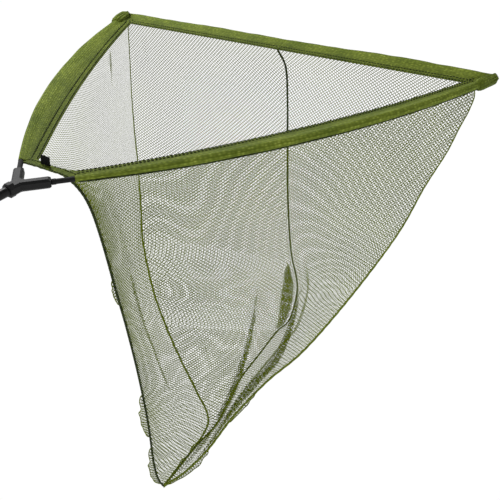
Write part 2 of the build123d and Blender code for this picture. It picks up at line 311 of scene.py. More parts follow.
def moulded_plastic(name, shade, rough, grain=900.0):
    """Black plastic with a fine moulded grain and faint scuffs."""
    made, tree, shader = material(name, Specular_IOR_Level=0.16)
    fine = noise(tree, grain, 2.0)
    scuffs = noise(tree, 35.0, 6.0, rough=0.65)
    low, high = [(shade * k,) * 3 for k in (0.9, 1.15)]
    paint(tree, shader, scuffs, [(0.4, low), (0.75, high)])
    vary_roughness(tree, shader, scuffs, rough - 0.03, rough + 0.07)
    bump(tree, shader, fine, 0.12, 0.0001)
    return made


def brushed_brass():
    """Turned brass with tool marks and a little tarnish."""
    made, tree, shader = material("turned_brass", Metallic=1.0)
    tarnish = noise(tree, 160.0, 4.0)
    paint(tree, shader, tarnish, [(0.35, (0.62, 0.40, 0.13)), (0.65, (0.86, 0.62, 0.26))])
    vary_roughness(tree, shader, tarnish, 0.22, 0.4)
    where = add_node(tree, "ShaderNodeTexCoord").outputs["Object"]
    marks = add_node(tree, "ShaderNodeTexWave", {"Vector": where, "Scale": 900.0}, bands_direction="X")
    bump(tree, shader, marks.outputs["Fac"], 0.12, 0.0001)
    return made


def woven_label():
    """Black woven satin with a fine diagonal."""
    made, tree, shader = material("woven_label", Roughness=0.8, Specular_IOR_Level=0.1)
    where = add_node(tree, "ShaderNodeTexCoord").outputs["Object"]
    rows = {"Vector": where, "Scale": 420.0}
    twill = add_node(tree, "ShaderNodeTexWave", rows, bands_direction="DIAGONAL").outputs["Fac"]
    paint(tree, shader, twill, [(0.2, (0.003,) * 3), (0.8, (0.010,) * 3)])
    bump(tree, shader, twill, 0.3, 0.0002)
    return made


MESH_YARN = mesh_yarn()
SLEEVE_CLOTH = sleeve_cloth()
STITCH = yarn("stitch_thread", (0.012, 0.018, 0.004), (0.026, 0.036, 0.008), 300.0)
BINDING = yarn("seam_binding", (0.010, 0.016, 0.004), (0.035, 0.050, 0.010), 120.0)
GREEN_BINDING = yarn("green_binding", (0.085, 0.115, 0.008), (0.180, 0.220, 0.025), 240.0)
BLOCK_PLASTIC = moulded_plastic("block_plastic", 0.010, 0.50)
TUBE_LACQUER = moulded_plastic("tube_lacquer", 0.006, 0.34, 300.0)
ARM_LACQUER = moulded_plastic("arm_lacquer", 0.006, 0.45, 300.0)
RUBBER = moulded_plastic("rubber", 0.010, 0.7, 500.0)
BRASS = brushed_brass()
LABEL = woven_label()
CORD_YARN = yarn("cord_yarn", (0.03, 0.04, 0.012), (0.06, 0.075, 0.025), 200.0)


# ------------------------ arms and rim
def arm_line(along):
    """Points and directions of the left arm's axis at distances from the junction."""
    along = np.asarray(along, float)
    heading = ARM_ANGLE - np.clip(along - ARM_STRAIGHT, 0, None) / BOW_RADIUS
    straight = np.minimum(along, ARM_STRAIGHT)
    x = straight * cos(ARM_ANGLE) + BOW_RADIUS * (sin(ARM_ANGLE) - np.sin(heading))
    y = straight * sin(ARM_ANGLE) + BOW_RADIUS * (np.cos(heading) - cos(ARM_ANGLE))
    flat = np.zeros_like(along)
    return np.stack([x, y, flat], -1), np.stack([np.cos(heading), np.sin(heading), flat], -1)


SLEEVE_NARROW, SLEEVE_WIDENS = 0.0265, 0.0255  # a side sleeve's width at its ends, and what the middle adds
SLEEVE_DROOP, FRONT_DROOP = 0.0085, 0.004  # how far the inner edges hang below the arm and the cord
CORNER_ALONG = 0.862  # where the mitre of the corner begins


def sleeve_share(along):
    """Places along the arm as shares of the side sleeve's length."""
    return np.clip((along - SLEEVE_START) / (SLEEVE_END - SLEEVE_START), 0, 1)


def sleeve_width(along):
    """From the arm's axis to the sleeve's inner edge, narrowed at the mitre of the corner."""
    full = SLEEVE_NARROW + SLEEVE_WIDENS * np.sin(pi * sleeve_share(along)) ** 0.8
    return np.minimum(full, 0.004 + 0.6 * (SLEEVE_END + 0.005 - along))


def sleeve_droop(along):
    """How far the sleeve's inner edge hangs below the arm."""
    return SLEEVE_DROOP * np.sin(pi * sleeve_share(along)) ** 0.5


def inward_of(ahead):
    """Unit vectors to the right of horizontal ones: from the left arm towards the mouth of the net."""
    return np.stack([ahead[:, 1], -ahead[:, 0], np.zeros(len(ahead))], 1)


def inner_edge(along):
    """The left sleeve's inner edge at distances along the arm."""
    points, ahead = arm_line(along)
    points = points + inward_of(ahead) * sleeve_width(along)[:, None]
    points[:, 2] -= sleeve_droop(along)
    return points


# ------------------------ seams of the bag
ACROSS = 400  # points across each level of cloth before it is folded
APEX = (0.210, 0, -0.908)
REAR_SEAM = [
    (0.075, 0, -0.002), (0.112, 0, -0.052), (0.133, 0, -0.102), (0.147, 0, -0.180), (0.160, 0, -0.293),
    (0.173, 0, -0.400), (0.185, 0, -0.540), (0.191, 0, -0.680), (0.190, 0, -0.800), (0.196, 0, -0.866), APEX]
RIGHT_SEAM = [
    (0.746, -0.434, -0.004), (0.752, -0.441, -0.030), (0.747, -0.436, -0.062), (0.737, -0.425, -0.098),
    (0.722, -0.411, -0.149), (0.690, -0.385, -0.220), (0.650, -0.352, -0.325), (0.572, -0.290, -0.462),
    (0.487, -0.221, -0.588), (0.417, -0.165, -0.655), (0.352, -0.112, -0.740), (0.300, -0.070, -0.828),
    (0.250, -0.034, -0.880), APEX]
LEFT_SEAM = [
    (0.746, 0.437, -0.004), (0.746, 0.441, -0.045), (0.736, 0.437, -0.104), (0.706, 0.418, -0.192),
    (0.669, 0.388, -0.269), (0.629, 0.352, -0.328), (0.563, 0.298, -0.413), (0.518, 0.262, -0.470),
    (0.472, 0.205, -0.565), (0.452, 0.158, -0.650), (0.442, 0.112, -0.733), (0.436, 0.066, -0.812),
    (0.425, 0.022, -0.878), (0.380, 0.004, -0.890), (0.300, 0.000, -0.900), APEX]
CENTRE_SEAM = [
    (0.737, -0.003, -0.004), (0.757, -0.013, -0.050), (0.762, -0.015, -0.130), (0.762, -0.015, -0.240),
    (0.766, -0.015, -0.392), (0.782, -0.015, -0.554), (0.820, -0.015, -0.700), (0.779, -0.015, -0.786),
    (0.709, -0.015, -0.782), (0.618, -0.014, -0.796), (0.518, -0.013, -0.816), (0.425, -0.008, -0.885),
    (0.330, -0.003, -0.890), APEX]
LEVELS = 240  # points along a seam, and levels of cloth between two seams
REAR_BINDING, CENTRE_BINDING = 0.0023, 0.0021  # radii of the middle seams
CORNER_BINDING = ((0, 0.15, 0.45, 1), (0.0010, 0.0013, 0.0023, 0.0026))  # shares of its seam, and radii
HEM_EDGE = [(0.075, 0, -0.002), (0.077, 0.020, -0.002)]  # the mesh's top edge under the hem
RIM_START = 0.095  # along the arm, where that edge joins the sleeve


def corner_route(side):
    """The corner seam on one side. The left one swings in to the keel further up."""
    return smooth_line(LEFT_SEAM if side > 0 else RIGHT_SEAM, LEVELS)


def rim_line(side):
    """The top edge of a side panel, from the middle of the hem to the corner."""
    edge = inner_edge(np.linspace(RIM_START, CORNER_ALONG, 60))
    return evenly(np.vstack([HEM_EDGE, edge]), ACROSS) * (1, side, 1)


# ------------------------ folded sheets of mesh
TURN = 0.0040  # length of cloth in each turn of a fold
SETTLE = 0.030  # a fold's rise dies out over this distance
FOLD_CLOSES = 0.0025  # a fold this long lies flat on the cloth
FINE = 0.0010  # step of cloth while folding
PLEAT_FROM = 0.003  # folds longer than this are double
PLEAT_APART = 0.002  # how far a pleat's second fold lies beside the first
COLUMNS = 900  # points across each level of a sheet once it is folded


def ease(t):
    """A smooth rise from 0 to 1."""
    t = np.clip(t, 0, 1)
    return t * t * (3 - 2 * t)


def fold_level(base, outward, folds):
    """Lays cloth along a level, doubled back at its folds: evenly spaced points and the cloth's length.

    A fold is (place along the level, length of the doubled cloth). Short folds are only raised.
    """
    run = run_along(base)
    total = run[-1]
    turn = ease(np.linspace(0, 1, 41))
    used = 0.0
    laid = []
    for place, length in sorted(folds):
        closed = min(1.0, length / FOLD_CLOSES)
        turning = TURN * np.cos(pi * closed * turn).mean()
        flat = length * cos(pi * closed)
        rise = 2 * TURN * np.sin(pi * closed * turn).mean() + length * sin(pi * closed)
        laid.append((place - turning - flat / 2 + used, length, closed, place, rise))
        used += 2 * (TURN - turning) + length - flat
    width = total + used
    cloth = np.linspace(0, width, int(width / FINE) + 2)
    heading = np.zeros_like(cloth)
    for begin, length, closed, _, _ in laid:
        there, back = ease((cloth - begin) / TURN), ease((cloth - begin - TURN - length) / TURN)
        heading += pi * closed * (there - back)
    step = cloth[1]
    advance = np.r_[0, np.cumsum(np.cos(heading[:-1]) * step)]
    advance *= total / advance[-1]
    height = np.r_[0, np.cumsum(np.sin(heading[:-1]) * step)]
    for _, _, _, place, rise in laid:
        height -= rise * ease((advance - place + SETTLE) / (2 * SETTLE))
    height *= ease(np.minimum(advance, total - advance) / 0.012)
    even = np.linspace(0, width, COLUMNS)
    advance, height = np.interp(even, cloth, advance), np.interp(even, cloth, height)
    return points_at(advance, run, base) + points_at(advance, run, outward) * height[:, None], width


class Sheet:
    """A draped sheet of cloth with its flat pattern: x across from the middle and y down, in metres."""

    def __init__(self, levels, outward, folds=None, ripples=None, gather=(0.0, 0.012)):
        """gather is (spare cloth drawn up on the first seam, how far from it the gathers reach)."""
        rows, widths = [], []
        for share, base, facing in zip(np.linspace(0, 1, len(levels)), levels, outward):
            if ripples is not None:
                base = base + facing * ripples(np.linspace(0, 1, len(base)), share)[:, None]
            laid, width = fold_level(base, facing, folds(share, base) if folds is not None else ())
            rows.append(laid)
            widths.append(width)
        self.table = np.stack(rows)
        self.laid = np.array(widths)
        spare, self.gather_reach = gather
        self.spare = spare * np.linspace(1, 0, len(levels)) ** 0.7
        self.widths = self.laid + self.spare
        gaps = np.linalg.norm(np.diff(np.array(levels), axis=0), axis=2).mean(1)
        self.down = np.r_[0, np.cumsum(gaps)]
        self.normals = unit(np.cross(np.gradient(self.table, axis=0), np.gradient(self.table, axis=1)))

    def half_width(self, y):
        """Half the width of the cloth at y."""
        return np.interp(y, self.down, self.widths) / 2

    def at(self, x, y):
        """Points and normals of the draped cloth at places of the flat pattern."""
        level = np.interp(y, self.down, np.arange(len(self.down)))
        upper = np.minimum(level.astype(int), len(self.down) - 2)
        lower_part = (level - upper)[:, None]
        cloth = x + self.half_width(y)
        spare = np.interp(y, self.down, self.spare)
        place = cloth / (1 + spare / self.gather_reach)
        for _ in range(8):
            drawn = np.exp(-place / self.gather_reach)
            excess = place + spare * (1 - drawn) - cloth
            place = place - excess / (1 + spare / self.gather_reach * drawn)
        column = np.clip(place / np.interp(y, self.down, self.laid), 0, 1) * (COLUMNS - 1)
        left = np.minimum(column.astype(int), COLUMNS - 2)
        right_part = (column - left)[:, None]

        def mixed(grid):
            high = grid[upper, left] * (1 - right_part) + grid[upper, left + 1] * right_part
            low = grid[upper + 1, left] * (1 - right_part) + grid[upper + 1, left + 1] * right_part
            return high * (1 - lower_part) + low * lower_part

        return mixed(self.table), unit(mixed(self.normals))


COLUMN_PARTS = 7  # a cell's corners are placed in parts of a column and halves of a cell from its heart
CORNERS = np.array([(6, 0), (1, -1), (-1, -1), (-6, 0), (-1, 1), (1, 1)])
PIECE_CELLS = 7600  # keeps each piece under 200,000 triangles
ROW_CODES = 100003  # more than the rows of corners of any sheet


def knit(name, sheet, opening=OPENING):
    """Pieces of knotless mesh over a sheet: columns of six-sided cells between flat strands."""
    reach = sheet.down[-1]
    part, half = CELL_WIDTH / COLUMN_PARTS, CELL_HEIGHT / 2
    rows = int(reach / CELL_HEIGHT) + 3
    columns = int((sheet.widths.max() + 2 * CELL_SLANT * reach) / CELL_WIDTH) + 4
    row, column = np.meshgrid(np.arange(-1, rows), np.arange(-columns // 2, columns // 2 + 1), indexing="ij")
    hearts = np.stack([COLUMN_PARTS * column.ravel(), (2 * row + column % 2).ravel()], 1)
    keys = hearts[:, None] + CORNERS
    y = keys[..., 1] * half
    x = keys[..., 0] * part * (1 + opening * np.clip(y / reach, 0, 1) ** 1.6) + CELL_SLANT * y
    inside = (np.abs(x) < sheet.half_width(np.clip(y, 0, reach))) & (y > 0) & (y < reach)
    kept = inside.sum(1) >= 2
    keys, x, y = keys[kept], x[kept], np.clip(y[kept], 0, reach)
    limit = sheet.half_width(y)
    flat = np.stack([np.clip(x, -limit, limit), y], 2)
    order = np.argsort(y.mean(1), kind="stable")
    chunks = max(1, -(-len(order) // PIECE_CELLS))
    pieces = []
    for number, chosen in enumerate(np.array_split(order, chunks)):
        points, quads, uv = mesh_cells(sheet, keys[chosen], flat[chosen])
        label = f"{name}_{number + 1}" if chunks > 1 else name
        pieces.append(new_mesh(label, points, quads, MESH_YARN, uv))
    return pieces


def mesh_cells(sheet, keys, flat):
    """Points, faces and bake layout of some cells of mesh, closed round their outer edges."""
    code = keys[..., 0] * ROW_CODES + keys[..., 1]
    _, first, corner = np.unique(code.ravel(), return_index=True, return_inverse=True)
    corner = corner.reshape(code.shape)
    node_flat = flat.reshape(-1, 2)[first]
    node, normal = sheet.at(node_flat[:, 0], node_flat[:, 1])
    count = len(node)

    heart = node[corner].mean(1, keepdims=True)
    spoke = node[corner] - heart
    spoke_length = np.maximum(np.linalg.norm(spoke, axis=2), 1e-6)
    inset = np.minimum(0.90, STRAND / 2 / cos(pi / 6) / spoke_length)[..., None]
    hole = (heart + spoke * (1 - inset)).reshape(-1, 3)
    points = np.vstack([node + normal * RIDGE, node - normal * RIDGE, hole])

    after = np.roll(corner, -1, 1)
    rim = 2 * count + np.arange(corner.size).reshape(corner.shape)
    rim_after = np.roll(rim, -1, 1)
    top = np.stack([corner, after, rim_after, rim], 2).reshape(-1, 4)
    bottom = np.stack([after + count, corner + count, rim, rim_after], 2).reshape(-1, 4)
    edges = np.stack([corner, after], 2).reshape(-1, 2)
    edge_name = edges.min(1) * count + edges.max(1)
    _, back, times = np.unique(edge_name, return_inverse=True, return_counts=True)
    a, b = edges[times[back] == 1].T
    walls = np.stack([a, a + count, b + count, b], 1)

    flat_heart = node_flat[corner].mean(1, keepdims=True)
    flat_hole = (flat_heart + (node_flat[corner] - flat_heart) * (1 - inset)).reshape(-1, 2)
    uv = np.vstack([node_flat, node_flat, flat_hole])
    uv = 0.01 + 0.98 * (uv - uv.min(0)) / np.maximum(uv.max(0) - uv.min(0), 1e-6)
    return points, np.vstack([top, bottom, walls]), uv


def between(first, second, bow):
    """Levels of cloth between two seams: straight chords, bowed by bow(level, across)."""
    across = np.linspace(0, 1, ACROSS)
    shares = np.linspace(0, 1, len(first))
    return np.array([
        a + (b - a) * across[:, None] + bow(share, across) for share, a, b in zip(shares, first, second)])


def outward_of(levels, side):
    """Horizontal unit vectors pointing out of the bag, along each level."""
    along = np.gradient(levels, axis=1)
    out = np.stack([-along[..., 1], along[..., 0], np.zeros(along.shape[:2])], 2) * side
    return unit(out)


def fold_set(paths):
    """Folds of a sheet from paths of (depth, place across, length), the first two as shares of the sheet.

    The deep folds are pleats, with a shorter fold tucked under them.
    """
    def at(share, base):
        total = np.linalg.norm(np.diff(base, axis=0), axis=1).sum()
        found = []
        for path in paths:
            depths, places, lengths = zip(*path)
            if depths[0] < share < depths[-1]:
                place, length = np.interp(share, depths, places) * total, np.interp(share, depths, lengths)
                found.append((place, length))
                found.append((place + PLEAT_APART, 0.9 * max(0.0, length - PLEAT_FROM)))
        return [fold for fold in found if fold[1] > 0.0002]
    return at


# ------------------------ the bag
SIDE_FOLDS = {
    "right": [
        [(0.22, 0.062, 0), (0.27, 0.063, 0.0010), (0.368, 0.060, 0.0014), (0.456, 0.059, 0.0010),
         (0.52, 0.060, 0)],
        [(0.29, 0.156, 0), (0.32, 0.163, 0.0008), (0.408, 0.212, 0.0012), (0.527, 0.349, 0.0016),
         (0.60, 0.44, 0)],
        [(0.36, 0.500, 0), (0.40, 0.512, 0.0030), (0.497, 0.559, 0.0085), (0.598, 0.618, 0.0150),
         (0.698, 0.735, 0.0200), (0.793, 0.830, 0.0220), (0.86, 0.800, 0.0160), (0.95, 0.700, 0)],
        [(0.38, 0.700, 0), (0.42, 0.711, 0.0040), (0.538, 0.795, 0.0190), (0.633, 0.865, 0.0340),
         (0.70, 0.890, 0.0350), (0.78, 0.905, 0.0220), (0.86, 0.925, 0.0090), (0.92, 0.930, 0)],
    ],
    "left": [
        [(0.004, 0.775, 0), (0.012, 0.765, 0.0012), (0.038, 0.738, 0.0016), (0.075, 0.700, 0)],
        [(0.35, 0.300, 0), (0.45, 0.330, 0.0020), (0.60, 0.430, 0.0035), (0.75, 0.500, 0)],
    ],
}
FRONT_FOLDS = {
    "right": [
        [(0.40, 0.800, 0), (0.52, 0.700, 0.0040), (0.66, 0.560, 0.0060), (0.80, 0.450, 0.0040),
         (0.92, 0.400, 0)],
    ],
    "left": [
        [(0.43, 0.965, 0), (0.47, 0.940, 0.0220), (0.52, 0.925, 0.0360), (0.56, 0.930, 0.0300),
         (0.60, 0.950, 0.0120), (0.62, 0.965, 0)],
        [(0.01, 0.100, 0), (0.05, 0.110, 0.0012), (0.12, 0.125, 0)],
    ],
}
# frills as (start, end, width), the first two as shares of the seam
REAR_RUFFLES = [(0.310, 0.375, 0.0060), (0.655, 0.795, 0.0150), (0.835, 0.985, 0.0130)]
KEEL_RUFFLES = [(0.720, 0.800, 0.0060), (0.880, 0.992, 0.0120)]
SPARE_CLOTH = {"left": 0.050, "right": 0.095}  # drawn up on the rear seam at the rim
GATHER_REACH = 0.025  # how far from the seam the gathers reach
RIPPLE_SIZE = {"left": 0.0012, "right": 0.0030}
# powers with which the rim's curve dies out below: everywhere, more near the rear seam, and how near
RIM_FADE = {"left": (3.0, 20, 0.20), "right": (1.15, 34, 0.13)}


def side_panel(side, hand, rear, corner):
    """The sheet of one side panel: it follows the curved rim at the top and hangs straight further down."""
    rim = rim_line(side)
    rim = rim + (corner[0] - rim[-1]) * np.linspace(0, 1, len(rim))[:, None] ** 6
    chord = rim[:1] + (rim[-1:] - rim[:1]) * np.linspace(0, 1, len(rim))[:, None]

    def bow(share, across):
        power, more, near = RIM_FADE[hand]
        fade = (1 - share) ** (power + more * np.exp(-((across / near) ** 2)))
        bowed = (rim - chord) * fade[:, None]
        bowed[:, 1] -= side * 0.012 * np.sin(pi * share) * np.sin(pi * across)
        return bowed

    def ripples(across, share):
        size = RIPPLE_SIZE[hand]
        size *= min(1, share / 0.2) * (1 - share) * np.sin(pi * across)
        return size * ripple(across + 0.25 * share, (0.53, 0.34, 0.21), 3 + side)

    levels = between(rear, corner, bow)
    gather = (SPARE_CLOTH[hand], GATHER_REACH)
    return Sheet(levels, outward_of(levels, side), fold_set(SIDE_FOLDS[hand]), ripples, gather)


def front_panel(side, hand, corner, centre):
    """The sheet of one front panel."""
    def bow(share, across):
        forward = 0.010 * np.sin(pi * across) * sin(pi * min(1, share * 1.6))
        sag = -0.010 * np.sin(pi * across) * share
        return np.stack([forward, np.zeros_like(across), sag], 1)

    def ripples(across, share):
        size = 0.0016 * min(1, share / 0.15) * (1 - share) * np.sin(pi * across)
        return size * ripple(across + 0.2 * share, (0.61, 0.37), 11 + side)

    levels = between(corner, centre, bow)
    return Sheet(levels, outward_of(levels, side), fold_set(FRONT_FOLDS[hand]), ripples)


def ruffle(name, seam, start, end, width, away):
    """A frill of spare mesh in two layers, standing out beyond a seam between two shares of its length."""
    part = np.linspace(0, 1, 60)
    at = np.linspace(start, end, len(part)) * (len(seam) - 1)
    line = points_at(at, np.arange(len(seam)), seam)
    away = unit(np.array(away, float))
    along, _, _ = frames_along(line)
    bend = np.cross(along, away)
    across = np.linspace(0, 1, 24)
    wide = 0.0012 + width * np.sin(pi * part) ** 0.6 * (1 + 0.15 * ripple(part, (0.41, 0.23), 5))
    curl = 0.35 * width * ripple(part, (0.45, 0.3), 8)
    levels = (line[:, None] + away * (across[None] * wide[:, None])[..., None]
              + bend[:, None] * (curl[:, None] * across**2)[..., None])
    outward = np.broadcast_to(bend[:, None], levels.shape)
    back = levels + bend[:, None] * (0.0015 + 0.25 * width * across[None] * (1 - across[None]))[..., None]
    front_layer = knit(name + "_a", Sheet(levels, outward), opening=FRILL_OPENING)
    back_layer = knit(name + "_b", Sheet(back, outward), opening=FRILL_OPENING)
    edge = (levels[:, -1] + back[:, -1]) / 2
    selvedge = rope(f"{name}_edge", edge, 0.0010, MESH_YARN, depth=0.1, around=8)
    return front_layer + back_layer + [selvedge]


def make_bag():
    """Two side panels and two front panels of mesh, with their seams and the frills outside them."""
    rear = smooth_line(REAR_SEAM, LEVELS)
    centre = smooth_line(CENTRE_SEAM, LEVELS)
    for side, hand in SIDES:
        corner = corner_route(side)
        panels = knit(f"side_mesh_{hand}", side_panel(side, hand, rear, corner))
        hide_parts(f"net_{hand}")
        fronts = knit(f"front_mesh_{hand}", front_panel(side, hand, corner, centre))
        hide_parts(f"net_front_{hand}")
        frills = []
        for number, (start, end, width) in enumerate(KEEL_RUFFLES):
            frills += ruffle(f"keel_frill_{hand}_{number + 1}", corner, start, end, width, (1, side, -0.6))
        radius = np.interp(np.linspace(0, 1, LEVELS), *CORNER_BINDING)
        seam = rope(f"corner_binding_{hand}", corner, radius, GREEN_BINDING)
        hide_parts(f"corner_seam_{hand}")
        follow_arm(seam)
        for piece in (*panels, *fronts, *frills):
            follow_arm(piece)
    for number, (start, end, width) in enumerate(REAR_RUFFLES):
        for piece in ruffle(f"rear_frill_{number + 1}", rear, start, end, width, (-1, 0.25, 0)):
            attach(piece, "head")
    for name, line, node, radius in (("rear_binding", rear, "rear_seam", REAR_BINDING),
                                     ("centre_binding", centre, "centre_seam", CENTRE_BINDING)):
        seam = rope(name, line, radius, BINDING)
        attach(seam, "head")
        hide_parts(node)


# ------------------------ sleeves
EDGE_STRIP = 0.012  # the flat strip between the two rows of stitches
LAYER = 0.0016  # two layers of sleeve cloth sewn together
EDGE_INSET = 0.0028  # from the inner edge to the row of stitches beside it
STITCH_ROWS = ((EDGE_STRIP, 1), (EDGE_STRIP, -1), (EDGE_INSET, 1), (EDGE_INSET, -1))  # inset, and up or down
THREAD_RADIUS = 0.00105
MITRE = 0.02  # the stitches run this far on into a corner


def pocket_section(width, outer, slack):
    """A sleeve's section: (inward, up) points round the pocket and along its sewn strip."""
    turn = np.radians(np.linspace(78, 282, 17))
    tube = np.stack([np.cos(turn) * outer, np.sin(turn) * outer], 1)
    seam = max(width - EDGE_STRIP, width * 0.45)
    down = np.linspace(0, 1, 13)[1:]
    start = tube[0, 0]
    slope = LAYER / 2 + (tube[0, 1] - LAYER / 2) * (1 - down) ** 1.7
    top = np.stack([start + (seam - start) * down, slope], 1)
    belly = -slope - slack * np.sin(pi * down)
    bottom = np.stack([start + (seam - start) * down, belly], 1)[::-1]
    strip = np.linspace(0, 1, 5)[1:]
    strip_top = np.stack([seam + (width - seam) * strip, LAYER / 2 + 0.0003 * np.sin(pi * strip)], 1)
    strip_bottom = strip_top[::-1] * (1, -1)
    return np.vstack([tube[:1], top, strip_top, strip_bottom, bottom, tube[:0:-1]])


def sew_sleeve(name, line, inward, width, droop, outer, slack, seed):
    """A sleeve along a line, with its gathers, wrinkles and loose billows."""
    run = run_along(line)
    up = np.array([0, 0, 1.0])
    rings = []
    for at, point, into, wide, hang, radius in zip(run, line, inward, width, droop, outer):
        section = pocket_section(wide, radius, slack * min(1, 0.25 + (at - run[0]) / 0.25))
        share = np.clip(section[:, 0] / wide, 0, 1)
        wave = np.sin(tau * at / 0.0065 + 2.2 * sin(at * 31 + seed))
        pucker = 0.00045 * np.exp(-((share - 0.78) / 0.12) ** 2) * wave
        soft = 0.0007 * (1 - share) * ripple(np.array(at + 0.9 * share), (0.31, 0.17, 0.11), seed)
        sway = 0.45 * ripple(np.array(at), (0.37, 0.23), seed + 3)
        creases = 0.0011 * np.sin(pi * share) * (1 - share) * np.sin(tau * (2.3 * share + sway))
        height = section[:, 1] + np.sign(section[:, 1]) * (pucker + soft + creases) - hang * share**1.5
        rings.append(point + into * section[:, :1] + up * height[:, None])
    rings = np.array(rings)
    around = rings.shape[1]
    points, quads = capped_tube(rings)
    made = new_mesh(name, points, quads, SLEEVE_CLOTH)
    girth = run_along(rings[len(rings) // 2])
    weave = np.stack([np.repeat(np.r_[run[0], run, run[-1]], around), np.tile(girth, len(run) + 2)], 1)
    lay_weave(made, quads, weave)
    return made


def stitches(name, line, facing, spacing=0.0064, length=0.0046):
    """A row of lockstitches along a line, each a small bead of thread sunk into the cloth."""
    run = run_along(line)
    points, quads = [], []
    angle = np.linspace(0, tau, 6, endpoint=False)
    profile = [(-0.5, 0.25), (-0.36, 0.85), (0, 1.0), (0.36, 0.85), (0.5, 0.25)]
    for centre in np.arange(spacing, run[-1] - spacing, spacing):
        here, ahead = points_at([centre, centre + 0.001], run, line)
        along = unit(ahead - here)
        sideways = unit(np.cross(points_at(centre, run, facing), along))
        face = np.cross(along, sideways)
        ring = sideways * np.cos(angle)[:, None] + face * np.sin(angle)[:, None]
        rings = np.array([here + along * length * t + ring * THREAD_RADIUS * r for t, r in profile])
        some, faces = capped_tube(rings)
        quads.append(faces + len(points) * len(some))
        points.append(some)
    return new_mesh(name, np.vstack(points), np.vstack(quads), STITCH)


def sew_rows(name, line, inward, width, droop, proud, sewn):
    """The rows of stitches along a sleeve's inner edge where sewn is set, a little proud of the cloth."""
    for number, (inset, face) in enumerate(STITCH_ROWS):
        row = line + inward * (width - inset)[:, None]
        row[:, 2] += face * (LAYER / 2 + proud) - droop * (np.clip(width - inset, 0, None) / width) ** 1.5
        facing = np.tile([0, 0, float(face)], (len(line), 1))
        thread = stitches(f"{name}_{number + 1}", row[sewn], facing[sewn])
        follow_arm(thread)


def make_side_sleeves():
    """A pocket of green tricot round each arm."""
    along = np.linspace(SLEEVE_START, SLEEVE_END, 300)
    for side, hand in SIDES:
        points, ahead = arm_line(along)
        flip = np.array([1, side, 1])
        inward = inward_of(ahead) * flip
        width = sleeve_width(along)
        outer = 0.0068 + 0.0001 * ripple(along, (0.41, 0.23), 5 + side)
        outer = np.minimum(outer, 0.0043 + 0.014 * (along - SLEEVE_START))
        droop = sleeve_droop(along)
        sleeve = sew_sleeve(f"pocket_{hand}", points * flip, inward, width, droop, outer, 0.0035, 7 + side)
        if side < 0:
            sleeve.data.flip_normals()
        follow_arm(sleeve)
        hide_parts(f"sleeve_{hand}")
        # painted shade: a real seam under each pocket, made dark and thick so it stands in for the shadow
        # under the tube
        shadow_line = points * flip - inward * 0.0030
        shadow_line[:, 2] -= outer * 0.92
        shadow_line_radius = 0.0008 + 0.0014 * np.sin(pi * np.linspace(0, 1, len(along)) ** 0.7) ** 0.5
        under = rope(f"shadow_seam_{hand}", shadow_line[2:-14], shadow_line_radius[2:-14], BINDING)
        follow_arm(under)
        sewn = along < CORNER_ALONG + MITRE
        sew_rows(f"stitches_{hand}", points * flip, inward, width, droop, 0.0009, sewn)


def front_width(y):
    """From the front cord to the sleeve's inner edge, mitred at the corners."""
    return np.minimum(CORD_X - FRONT_EDGE - 0.002, 0.049 - 1.02 * (np.abs(y) - CORNER_Y))


def make_front_sleeve():
    """The front sleeve in two halves that meet in the middle, and the cord inside it."""
    for side, hand in SIDES:
        y = np.linspace(0, FRONT_HALF - 0.001, 170) * side
        line = np.stack([np.full_like(y, CORD_X), y, np.zeros_like(y)], 1)
        inward = np.tile([-1.0, 0, 0], (len(y), 1))
        billow = 0.0035 * np.exp(-((y + 0.27) / 0.11) ** 2) + 0.0012 * np.exp(-((y - 0.20) / 0.08) ** 2)
        outer = 0.0052 + billow + 0.0006 * ripple(y, (0.17, 0.09, 0.05), 21)
        droop = np.full_like(y, FRONT_DROOP)
        sleeve = sew_sleeve(f"front_pocket_{hand}", line, inward, front_width(y), droop, outer, 0.003, 17)
        if side > 0:
            sleeve.data.flip_normals()
        cord = rope(f"draw_cord_{hand}", line[np.abs(y) < CORD_HALF], 0.0019, CORD_YARN, 0.012)
        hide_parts("sleeve_front")
        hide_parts("front_cord")
        follow_arm(sleeve)
        follow_arm(cord)
        sewn = np.abs(y) < CORNER_Y + MITRE
        sew_rows(f"stitches_front_{hand}", line, inward, front_width(y), droop, 0.0004, sewn)


# ------------------------ hem and label
HEM_LINE = [(0.0670, 0, 0), (0.0670, 0.020, 0), (0.0665, 0.036, 0), (0.0650, 0.050, 0), (0.0635, 0.060, 0)]
HEM_LENGTH, HEM_POINTS = 0.06, 60  # of each half
HEM_ROWS = (-0.006, 0.006)  # its rows of stitches, from the middle of the band


def make_hem():
    """The band across the rear of the mouth, in two halves, with a row of stitches along each edge."""
    for side, hand in SIDES:
        line = smooth_line(HEM_LINE, HEM_POINTS) * (1, side, 1)
        run = np.linspace(0, HEM_LENGTH, HEM_POINTS)
        half = 0.0062 + 0.0065 * (run / HEM_LENGTH) ** 2
        forward = half - half[0]
        section = np.array([(t, s) for s in (1, -1) for t in (np.linspace(-1, 1, 9) * s)])
        lift = 0.0006 * ripple(run, (0.021, 0.013), 31 + side)
        rings = np.array([
            point + np.outer(section[:, 0] * wide + shift, (1, 0, 0))
            + np.outer(section[:, 1] * (0.0008 + 0.0004 * np.abs(section[:, 0])) + rise, (0, 0, 1))
            for point, rise, wide, shift in zip(line, lift, half, forward)])
        points, quads = capped_tube(rings)
        hem = new_mesh(f"hem_{hand}", points, quads, SLEEVE_CLOTH)
        lay_weave(hem, quads, points[:, 1::-1])
        if side < 0:
            hem.data.flip_normals()
        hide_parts("rear_hem")
        follow_arm(hem)
        for row, offset in enumerate(HEM_ROWS):
            edge = line + np.array([offset, 0, 0.0012])
            facing = np.tile([0, 0, 1.0], (HEM_POINTS, 1))
            thread = stitches(f"stitches_hem_{hand}_{row}", edge, facing, spacing=0.0055, length=0.0036)
            follow_arm(thread)


